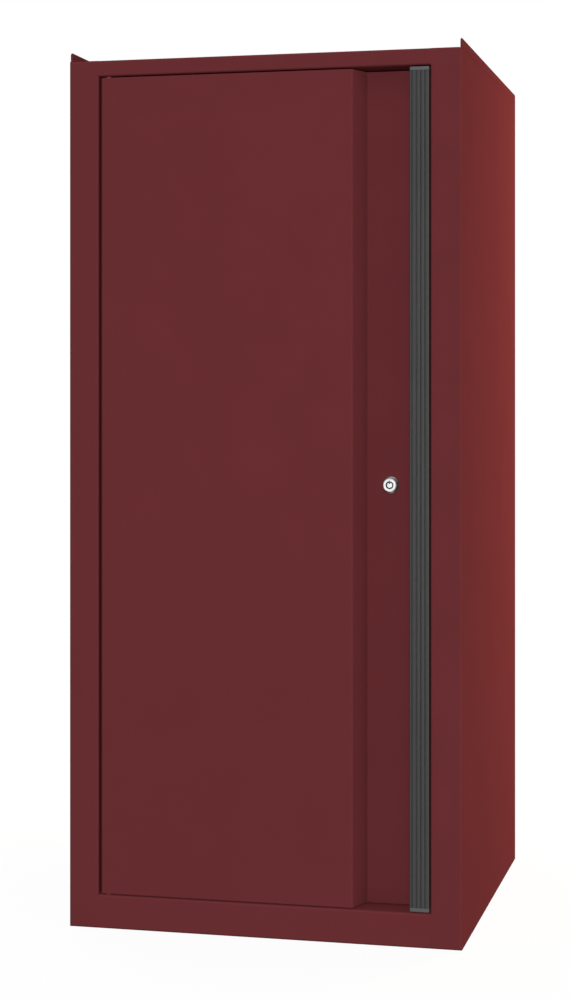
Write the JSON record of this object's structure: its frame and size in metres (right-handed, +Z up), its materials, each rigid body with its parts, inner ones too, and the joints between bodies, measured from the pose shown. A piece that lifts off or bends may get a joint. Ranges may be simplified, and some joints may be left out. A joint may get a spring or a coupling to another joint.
{
  "type": "tool chest side locker",
  "caption": "Tall sheet-steel side locker for a tool chest, with a pivot-hung door, a recessed full-height pull, a tubular cam lock and adjustable shelves.",
  "frame": {"origin": "on the ground, in the middle of the plan", "axes": "+X to the right seen from the front, +Y from the front to the back, +Z up"},
  "size_m": [0.508, 0.524, 1.123],
  "materials": {
    "red_paint": "dark red satin powder coat",
    "black_anodised": "black anodised extrusion",
    "black_plastic": "black moulded plastic",
    "rubber": "black rubber",
    "chrome": "bright chrome plate",
    "zinc_plate": "zinc plated steel",
    "bronze": "sintered bronze",
    "magnet": "ferrite magnet"
  },
  "bodies": {
    "cabinet": {"left_side_panel": "red_paint", "right_side_panel": "red_paint", "top_panel": "red_paint", "base_pan": "red_paint", "back_panel": "red_paint", "base_channel_front": "red_paint", "base_channel_rear": "red_paint", "shelf_standard_left_front": "red_paint", "shelf_standard_left_rear": "red_paint", "shelf_standard_right_front": "red_paint", "shelf_standard_right_rear": "red_paint", "shelf_lower": "red_paint", "shelf_middle": "red_paint", "shelf_upper": "red_paint", "shelf_clip_lower_left_front": "zinc_plate", "shelf_clip_middle_left_front": "zinc_plate", "shelf_clip_upper_left_front": "zinc_plate", "shelf_clip_lower_left_rear": "zinc_plate", "shelf_clip_middle_left_rear": "zinc_plate", "shelf_clip_upper_left_rear": "zinc_plate", "shelf_clip_lower_right_front": "zinc_plate", "shelf_clip_middle_right_front": "zinc_plate", "shelf_clip_upper_right_front": "zinc_plate", "shelf_clip_lower_right_rear": "zinc_plate", "shelf_clip_middle_right_rear": "zinc_plate", "shelf_clip_upper_right_rear": "zinc_plate", "hinge_bracket_bottom": "zinc_plate", "hinge_bracket_top": "zinc_plate", "hinge_pin_bottom": "zinc_plate", "hinge_pin_top": "zinc_plate", "catch_housing_bottom": "black_plastic", "catch_housing_top": "black_plastic", "catch_magnet_bottom": "magnet", "catch_magnet_top": "magnet", "bumper_bottom": "rubber", "bumper_top": "rubber"},
    "door": {"door_skin": "red_paint", "door_liner": "red_paint", "door_stiffener": "red_paint", "door_pull": "black_anodised", "pull_cap_bottom": "black_plastic", "pull_cap_top": "black_plastic", "lock_housing": "chrome", "lock_nut": "zinc_plate", "hinge_bush_bottom": "bronze", "hinge_bush_top": "bronze", "catch_plate_bottom": "zinc_plate", "catch_plate_top": "zinc_plate"},
    "lock": {"lock_plug": "chrome", "lock_cam": "zinc_plate", "cam_screw": "zinc_plate"}
  },
  "joints": [
    {"name": "door_swing", "type": "hinge", "parent": "cabinet", "child": "door", "pos_m": [-0.203, -0.25415, 0.56675], "axis": [0, 0, -1], "range_deg": [0, 110]},
    {"name": "lock_turn", "type": "hinge", "parent": "door", "child": "lock", "pos_m": [0.1595, -0.23, 0.57025], "axis": [0, 1, 0], "range_deg": [0, 90]}
  ]
}
